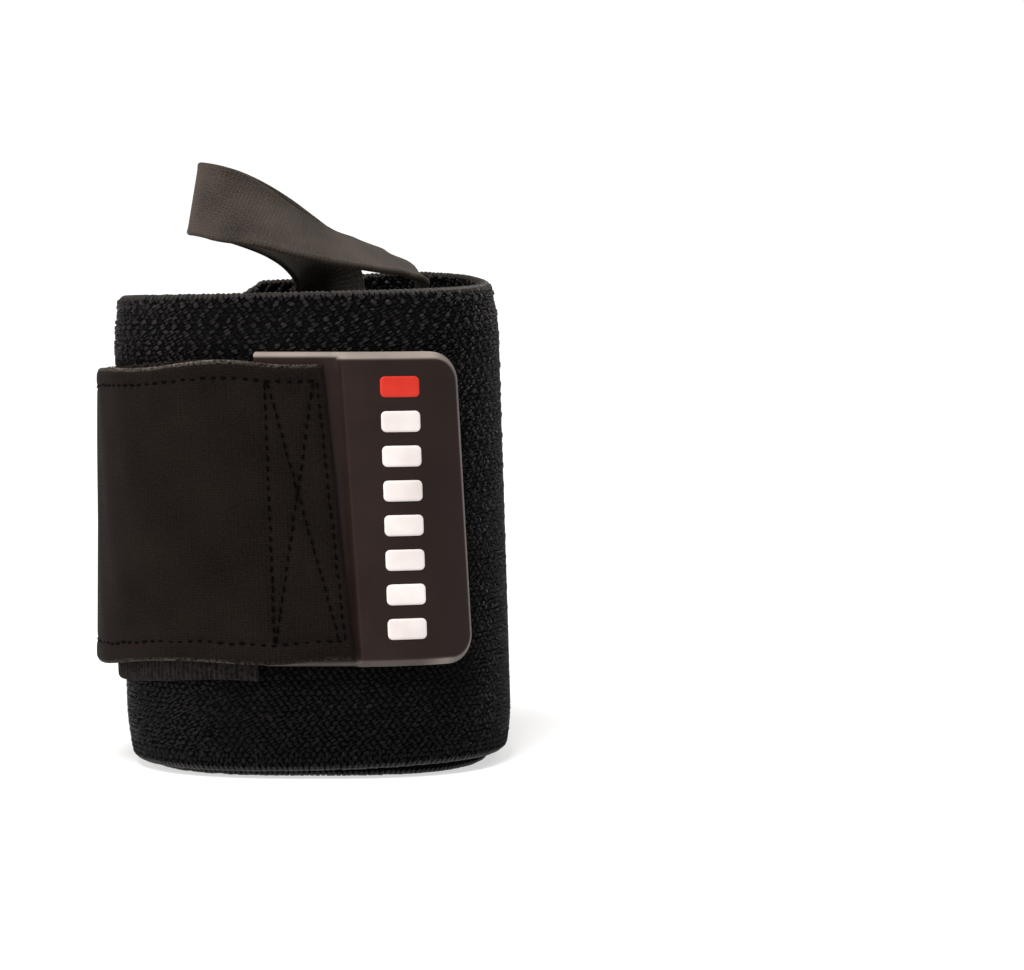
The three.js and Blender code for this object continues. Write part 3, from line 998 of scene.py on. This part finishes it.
def seam_dip(distance, up):
    """Depth that the seams draw the strap in, with a pucker at each stitch."""
    dip = np.zeros(np.broadcast(distance, up).shape)
    for (a0, b0), (a1, b1) in seam_lines().values():
        along = np.array([a1 - a0, (b1 - b0) * STRAP_WIDTH])
        length = np.linalg.norm(along)
        along = along / length
        x, y = distance - a0, (up - b0) * STRAP_WIDTH
        on = x * along[0] + y * along[1]
        off = np.abs(x * along[1] - y * along[0])
        inside = (on > -SEAM_OVERRUN) & (on < length + SEAM_OVERRUN)
        pucker = 1 - SEAM_PUCKER + SEAM_PUCKER * np.cos(2 * np.pi * on / THREAD_PITCH)
        dip = np.maximum(dip, np.where(inside, np.exp(-(off / SEAM_WIDTH) ** 2) * pucker, 0))
    return SEAM_DEPTH * dip


def swing(wave, distance, across=0.0):
    """Height of a wave of the strap, at a distance along it."""
    return wave["height"] * np.sin(distance * wave["along"] + wave.get("start", 0.0) + across)


def waved_strap(angle, distance, up, outset):
    """Point of the strap with the slight wave of its edges."""
    points = strap_point(angle, up, outset)
    points[..., 2] += swing(EDGE_WAVE, distance) * (2 * up - 1) ** 3
    return points


def on_strap(first, second, out):
    return waved_strap(strap_angle(first), first, second / STRAP_WIDTH, out)


def strap_grid():
    """Shares of the strap's width and length, with the angles and distances of its grid."""
    ups = edged_stops(*STRAP_STOPS)[None, :]
    along = np.linspace(0, 1, STRAP_COLUMNS)[:, None]
    end = angle_at(STRAP_END + STRAP_END_SLANT * (1 - ups))
    angle = STRAP_ROOT_ANGLE + (end - STRAP_ROOT_ANGLE) * along
    on_face = np.interp(angle, face_angles, face_walk)
    return ups, along, angle, np.where(angle <= OUTER_END_ANGLE, sewn_distance(angle), on_face)


def strap_relief(ups, angle, distance):
    """Height of the strap's face over a plain one: folded hems, soft waves and seams drawn in."""
    hem = HEM_RAISE * smoothstep(from_ends(ups, STRAP_WIDTH), *HEM_FADES)
    waves = swing(LONG_WAVE, distance) * np.cos(ups * LONG_WAVE["across"])
    waves = waves + swing(SHORT_WAVE, distance, ups * SHORT_WAVE["across"])
    return hem - HEM_RAISE + waves * (angle > OUTER_END_ANGLE) - seam_dip(distance, ups)


def strap_wear(ups, along, distance):
    """Wear of the strap's edges from 0 to 1, less on the lower one and toward the tab."""
    edge = np.exp(-(from_ends(ups, STRAP_WIDTH) / 0.36) ** 2)
    edge = edge * smoothstep((1 - along) * STRAP_ROUGH_LENGTH, 0.2, 1.2)
    return edge * np.where(ups < 0.5, 0.45, 1) * (1 - 0.6 * smoothstep(distance, -14, -6))


def strap_thread():
    """Stitches of the strap's seams."""
    rows = []
    for line in seam_lines().values():
        along, up, turn = seam_points(line)
        chance = random.normal(0, 1, (len(along), 5)).T
        rows.append(strand_table(
            along + 0.05 * chance[0], up * STRAP_WIDTH + 0.06 * chance[1], turn + 5 * chance[2],
            length=THREAD_LENGTH * (1 + 0.12 * chance[3]), width=THREAD_WIDTH, height=THREAD_WIDTH,
            shade=np.clip(0.5 + 0.3 * chance[4], 0, 1), dip=0.2, depth=0.17))
    return add_strands(
        "strap_thread", np.concatenate(rows), on_strap, "thread_yarn", "closure_strap", sides=6, rings=5)


def strap_fray():
    """Short worn fibres along both edges of the strap."""
    rows = []
    for edge in (0.2, STRAP_WIDTH - 0.2):
        rows.append(strand_table(
            random.uniform(ROOT_START + 1, FRAY_END, FRAY_COUNT),
            edge + random.normal(0, 0.06, FRAY_COUNT),
            random.normal(0, 12, FRAY_COUNT),
            length=random.uniform(0.3, 0.8, FRAY_COUNT),
            width=random.uniform(0.08, 0.17, FRAY_COUNT),
            height=0.12,
            shade=random.random(FRAY_COUNT),
            depth=0.28,
        ))
    return add_strands(
        "strap_fray", np.concatenate(rows), on_strap, "frayed_yarn", "closure_strap", sides=3, rings=2)


def closure_strap():
    """The strap with folded edges, seams drawn in and the soft waves of sewn cloth."""
    ups, along, angle, distance = strap_grid()
    from_edge = np.minimum(from_ends(ups, STRAP_WIDTH), from_ends(along, STRAP_ROUGH_LENGTH))
    rounding = STRAP_ROUNDING * np.maximum(0, 1 - from_edge / STRAP_ROUND_REACH) ** 2
    outer = waved_strap(angle, distance, ups, strap_relief(ups, angle, distance) - rounding)
    inner_rise = STRAP_INNER_GAP - STRAP_THICKNESS + rounding * STRAP_INNER_ROUNDING
    inner = waved_strap(angle, distance, ups, inner_rise)
    maps = vectors(distance, ups * STRAP_WIDTH, strap_wear(ups, along, distance))
    return add_sheet("strap", inner, outer, maps, "strap_cloth", "closure_strap")


def hook_strip():
    """Ribbed hook strip that holds on the band."""
    columns = int(HOOK_LENGTH / HOOK_RIB_PITCH * HOOK_STOPS_PER_RIB)
    distance = np.linspace(HOOK_RIGHT - HOOK_LENGTH, HOOK_RIGHT, columns)[:, None]
    ups = edged_stops(*HOOK_STOPS)[None, :]
    height = hook_height(distance, ups)
    ribs = HOOK_RIB_HEIGHT * (np.cos(2 * np.pi * distance / HOOK_RIB_PITCH) - 1)
    rounding = HOOK_ROUNDING * np.maximum(0, 1 - from_ends(ups, HOOK_WIDTH) / HOOK_ROUND_REACH)
    outer = face_point(distance, height, HOOK_THICKNESS + ribs - rounding)
    inner = face_point(distance, height, 0.0)
    maps = vectors(distance, height, 0.3)
    return add_sheet("hook_strip", inner, outer, maps, "hook_cloth", "hook_patch")


def hook_fuzz():
    """Fuzz of cut fibres along the hook strip's upper edge."""
    def on_edge(first, second, out):
        return face_point(first, hook_height(first, 1) - FUZZ_INSET + second, HOOK_THICKNESS + out)

    rows = strand_table(
        random.uniform(HOOK_RIGHT - HOOK_LENGTH, HOOK_RIGHT, FUZZ_COUNT),
        random.normal(0.0, 0.08, FUZZ_COUNT),
        random.uniform(20, 160, FUZZ_COUNT),
        length=random.uniform(0.4, 0.9, FUZZ_COUNT),
        width=random.uniform(0.15, 0.28, FUZZ_COUNT),
        height=0.2,
        shade=random.uniform(0.0, 0.2, FUZZ_COUNT),
        dip=0.1,
    )
    return add_strands("hook_fuzz", rows, on_edge, "hook_cloth", "hook_patch")


def tab_stops():
    """Shares of the tab's width and of its body's length, closer together near the edges."""
    corner = (1 - np.cos(np.linspace(0, np.pi / 2, TAB_CORNER_STOPS))) * TAB_CORNER / TAB_WIDTH
    low = np.unique(np.concatenate([corner, TAB_EDGE_STOPS / TAB_WIDTH]))
    middle = np.linspace(TAB_FIRST_ROW, 1 - TAB_FIRST_ROW, TAB_ROWS)[1:-1]
    ups = np.concatenate([low, middle, 1 - low[::-1]])
    length = TAB_REACH - STRAP_END
    even = np.linspace(0, 1, TAB_COLUMNS)
    body = np.unique(np.concatenate([even, 1 - TAB_EDGE_STOPS / length, TAB_START_STOPS / length]))
    return ups[None, :], body[:, None]


def from_tab_edge(distance, ups):
    """Distance from the outline of the tab's body, round its corners too."""
    from_row_edge = from_ends(ups, TAB_WIDTH)
    from_right = TAB_REACH + TAB_SLANT * (1 - ups) - distance
    into_x = np.maximum(0, TAB_CORNER - from_right)
    into_y = np.maximum(0, TAB_CORNER - from_row_edge)
    in_corner = (into_x > 0) & (into_y > 0)
    return np.where(in_corner, TAB_CORNER - np.hypot(into_x, into_y), np.minimum(from_row_edge, from_right))


def bevelled(from_edge, thickness):
    into = np.clip(1 - from_edge / TAB_BEVEL, 0, 1)
    return thickness - TAB_BEVEL_DEPTH * into**TAB_BEVEL_CURVE


def faded_wear_and_highlight(wear_and_painted_light, distance, ups):
    """Wear and painted highlight of the tab's edges, less toward its right end and along the left part of
    the lower edge.
    """
    wear_and_painted_light = wear_and_painted_light * (1 - 0.5 * smoothstep(distance, TAB_REACH - TAB_CORNER, TAB_REACH - 2))
    return wear_and_painted_light * np.where(ups < 0.5, 0.3 + 0.7 * smoothstep(distance, TAB_REACH - 9, TAB_REACH - 3), 1)


def pull_tab():
    """Rubber tab: thin flange under the strap, then the thick body with bevelled edges."""
    ups, body = tab_stops()
    step = tab_step(ups)
    start = step + TAB_STEP_RAMP
    flange = TAB_LEFT + (step - TAB_LEFT) * np.linspace(0, 1, TAB_FLANGE_COLUMNS)[:, None]
    right = start + (tab_right(ups) - start) * body
    flange_edge = np.broadcast_to(from_ends(ups, TAB_WIDTH), flange.shape) * TAB_STEP_BEVEL
    body_edge = from_tab_edge(right, ups)
    step_edge = TAB_STEP_BEVEL * (right - start) + 0.3
    out = np.concatenate([
        bevelled(flange_edge, TAB_FLANGE_THICKNESS),
        bevelled(np.minimum(np.maximum(body_edge, 0), step_edge), TAB_BODY_THICKNESS)])
    # Paler bevels: partly edge wear, partly a painted highlight along them
    wear_and_painted_light = 1 - np.concatenate([smoothstep(flange_edge, 1.6, 2.6), smoothstep(body_edge, 0.9, 1.35)])
    distance = np.concatenate([flange, right])
    outer = tab_point(distance, ups, out)
    inner = tab_point(distance, ups, 0.0)
    maps = vectors(distance, ups * TAB_WIDTH, faded_wear_and_highlight(wear_and_painted_light, distance, ups))
    return add_sheet("rubber_tab", inner, outer, maps, "tab_rubber", "pull_tab")


def mark_bar(number):
    """One plain raised bar with rounded edges on the tab's face. The last one is red."""
    stops = eased_stops(MARK_COLUMNS)[:, None]
    rows = eased_stops(MARK_ROWS)[None, :]
    ups = MARK_LOWEST + MARK_STEP * number + MARK_WIDTH / TAB_WIDTH * (rows - 0.5)
    from_row_edge = from_ends(rows, MARK_WIDTH)
    inset = MARK_CORNER - np.sqrt(MARK_CORNER**2 - np.maximum(0, MARK_CORNER - from_row_edge) ** 2)
    length = MARK_LENGTH - 2 * inset
    distance = MARK_LEFT + inset + length * stops
    near = np.minimum(from_ends(stops, length), from_row_edge)
    rise = MARK_RAISE * np.sqrt(1 - np.clip(1 - near / MARK_ROUNDING, 0, 1) ** 2)
    outer = tab_point(distance, ups, TAB_BODY_THICKNESS + rise)
    inner = tab_point(distance, ups, TAB_BODY_THICKNESS - MARK_SINK)
    maps = vectors(distance, ups * TAB_WIDTH, 0.0)
    look = "mark_red" if number == MARK_COUNT - 1 else "mark_white"
    return add_sheet(f"tab_bar_{number + 1}", inner, outer, maps, look, "pull_tab")


def core_radius(angle, height):
    first = np.mod((OUTER_END_ANGLE - angle) / FULL_TURN, 1)
    turns_in = first + np.floor(TURNS - first)
    return winding_radius(turns_in) - BAND_THICKNESS - edge_curl(turns_in, height, BAND_WIDTH)


def seat_radius(angle, height):
    half = np.degrees(np.arcsin(LOOP_WIDTH / 2 / core_radius(angle, height)))
    turns = (-half, 0, half)
    sides = [core_radius(angle + turn, height) * np.cos(np.radians(turn)) for turn in turns]
    return min(sides) - SEAT_GAP - LOOP_THICKNESS / 2


def leg_rows(angle, swing):
    depths = [LOOP_TAIL] + [share * EDGE_CURL_REACH for share in LOOP_SEAT_SHARES]
    heights = [BAND_WIDTH - depth for depth in depths]
    return [(*roll_point(angle, seat_radius(angle, height), height), 90.0, swing) for height in heights]


def centripetal(points, count):
    """Points and knot numbers along a centripetal Catmull-Rom curve, evenly spaced."""
    points = np.concatenate([[2 * points[0] - points[1]], points, [2 * points[-1] - points[-2]]])
    gaps = np.maximum(np.linalg.norm(np.diff(points, axis=0), axis=1) ** 0.5, 1e-4)
    parts, knots = [], []
    fine = np.linspace(0, 1, 60, endpoint=False)[:, None]
    for i in range(1, len(points) - 2):
        g0, g1, g2 = gaps[i - 1:i + 2]
        p0, p1, p2, p3 = points[i - 1:i + 3]
        m1 = ((p1 - p0) / g0 - (p2 - p0) / (g0 + g1) + (p2 - p1) / g1) * g1
        m2 = ((p2 - p1) / g1 - (p3 - p1) / (g1 + g2) + (p3 - p2) / g2) * g1
        parts.append((1 + 2 * fine) * (1 - fine) ** 2 * p1 + fine * (1 - fine) ** 2 * m1
                     + fine**2 * (3 - 2 * fine) * p2 + fine**2 * (fine - 1) * m2)
        knots.append(i - 1 + fine[:, 0])
    line = np.concatenate(parts + [points[-2:-1]])
    knots = np.concatenate(knots + [[len(points) - 3]])
    walk = walked(line)
    even = np.linspace(0, walk[-1], count)
    return np.stack([np.interp(even, walk, line[:, i]) for i in range(3)], 1), np.interp(even, walk, knots)


def loop_rows():
    """Points that the ribbon's middle line runs through, each with its tilt and swing in degrees."""
    free = []
    for row in LOOP_TABLE:
        height = BAND_WIDTH + LOOP_RISE * row["rise"]
        free.append((ROLL_HALF_WIDTH * row["across"] - ROLL_LEAN * height, ROLL_HALF_DEPTH * row["deep"],
                     height, row["tilt"], row["swing"]))
    back_leg = leg_rows(LOOP_BACK_ANGLE, FULL_TURN / 2 - LOOP_BACK_ANGLE)
    side_leg = leg_rows(LOOP_SIDE_ANGLE, -LOOP_SIDE_ANGLE)
    return np.array(back_leg + free + side_leg[::-1], float)


def loop_frame():
    """The ribbon's middle line, with the directions across the ribbon and out of its face."""
    rows = loop_rows()
    line, knots = centripetal(rows[:, :3], LOOP_COLUMNS)
    ahead = np.gradient(line, axis=0)
    ahead /= np.linalg.norm(ahead, axis=1, keepdims=True)
    tables = [[{"knot": i, "turn": turn} for i, turn in enumerate(column)] for column in rows[:, 3:].T]
    tilt, turned = (np.radians(table_curve(table, "knot", "turn")(knots)) for table in tables)
    wide = np.stack([np.sin(tilt) * np.sin(turned), np.sin(tilt) * np.cos(turned), np.cos(tilt)], axis=1)
    wide -= ahead * np.sum(wide * ahead, axis=1, keepdims=True)
    wide /= np.linalg.norm(wide, axis=1, keepdims=True)
    return line, wide, np.cross(ahead, wide)


def ribbon_half(from_edge):
    """Half the ribbon's thickness: a little more along its selvedges, and round at its edges."""
    selvedge_swell = np.exp(-((from_edge - LOOP_SELVEDGE) / LOOP_SELVEDGE_REACH) ** 2)
    half = LOOP_THICKNESS / 2 * (1 - LOOP_SELVEDGE_SHARE + LOOP_SELVEDGE_SHARE * selvedge_swell)
    return half * np.sqrt(1 - np.clip(1 - from_edge / LOOP_ROUND_REACH, 0, 1) ** 2 * 0.9)


def thumb_loop():
    """Ribbon of the thumb loop, with painted shade low down on its back leg and darker edges, and its
    length.
    """
    line, wide, face = (vector[:, None] for vector in loop_frame())
    ups = edged_stops(*LOOP_STOPS)[None, :, None]
    from_edge = from_ends(ups, LOOP_WIDTH)
    walk = walked(line[:, 0])[:, None, None]
    crown = LOOP_CROWN * np.sin(np.pi * ups) * np.sin(walk * 0.05 + 0.4) ** 2
    middle = line + wide * LOOP_WIDTH * (ups - 0.5) + face * crown
    outer = middle + face * ribbon_half(from_edge)
    inner = middle - face * ribbon_half(from_edge)
    # Painted shade: the back leg goes dark near and inside the roll's mouth; the ribbon's edges are made
    # darker too
    low = 1 - smoothstep(middle[..., 2:], BAND_WIDTH + 2, BAND_WIDTH + LOOP_RISE * 0.7)
    back_leg = 1 - smoothstep(walk / walk[-1], 0.3, 0.5)
    shade = 0.35 * np.exp(-(from_edge / 0.5) ** 2) + 2.6 * low * back_leg
    maps = np.concatenate(np.broadcast_arrays(walk, ups * LOOP_WIDTH, shade), axis=-1)
    return add_sheet("loop_ribbon", inner, outer, maps, "loop_cloth", "thumb_loop"), walk[-1, 0, 0]


# Camera, light and floor

def add_camera():
    data = bpy.data.cameras.new("camera")
    data.sensor_width = SENSOR_WIDTH
    data.lens = FOCAL_LENGTH
    camera = add_object("camera", data)
    place = np.array([CAMERA_RIGHT, -CAMERA_DISTANCE, CAMERA_HEIGHT]) + FRAME_SHIFT
    camera.location = place * MM
    camera.rotation_euler = Euler((np.radians(90 - CAMERA_DOWN), 0, 0))
    bpy.context.scene.camera = camera


def add_light(name, azimuth, elevation, strength, softness, colour):
    """A far soft light from an azimuth (0 in front, 90 at the right) and an elevation, in degrees."""
    data = bpy.data.lights.new(name, "SUN")
    data.energy = strength
    data.angle = np.radians(softness)
    data.color = colour
    lamp = add_object(name, data)
    lamp.rotation_euler = Euler((np.radians(90 - elevation), 0, np.radians(azimuth)))


def add_floor():
    material = bpy.data.materials.new("pale_floor")
    material.use_nodes = True
    feed(material.node_tree, material.node_tree.nodes["Principled BSDF"], {
        "Base Color": (FLOOR_GREY, FLOOR_GREY, FLOOR_GREY, 1),
        "Roughness": 1,
        "Specular IOR Level": 0,
        "Emission Color": (1, 1, 1, 1),
        "Emission Strength": FLOOR_GLOW,
    })
    mesh = bpy.data.meshes.new("floor")
    corners = [(x * FLOOR_REACH, y * FLOOR_REACH, 0) for x, y in ((-1, -1), (1, -1), (1, 1), (-1, 1))]
    mesh.from_pydata(corners, [], [(0, 1, 2, 3)])
    mesh.materials.append(material)
    add_object("floor", mesh)


def add_surroundings():
    """Even white light from all sides, and a backdrop that the camera sees as pale as the floor."""
    world = bpy.data.worlds.new("studio")
    world.use_nodes = True
    tree = world.node_tree
    seen = add_node(tree, "ShaderNodeLightPath", {})["Is Camera Ray"]
    values = {"Value": seen, "To Min": AMBIENT, "To Max": BACKDROP}
    strength = add_node(tree, "ShaderNodeMapRange", values)[0]
    feed(tree, tree.nodes["Background"], {"Color": (1, 1, 1, 1), "Strength": strength})
    bpy.context.scene.world = world
    bpy.context.scene.view_settings.view_transform = "Standard"


add_camera()
add_floor()
add_surroundings()
add_light("key_light", azimuth=-14, elevation=60, strength=3.0, softness=16, colour=(1, 0.98, 0.96))
add_light("rim_light", azimuth=145, elevation=42, strength=0.9, softness=30, colour=(1, 0.93, 0.86))
add_light("left_light", azimuth=-66, elevation=24, strength=1.9, softness=30, colour=(1, 0.89, 0.80))

band = elastic_band()
knits = outer_knit() + [core_knit(), back_rim_knit(), selvedge()]
strap = closure_strap()
strap_trim = [strap_thread(), strap_fray()]
hook = hook_strip()
fuzz = hook_fuzz()
pull_tab()
for number in range(MARK_COUNT):
    mark_bar(number)
ribbon, ribbon_length = thumb_loop()
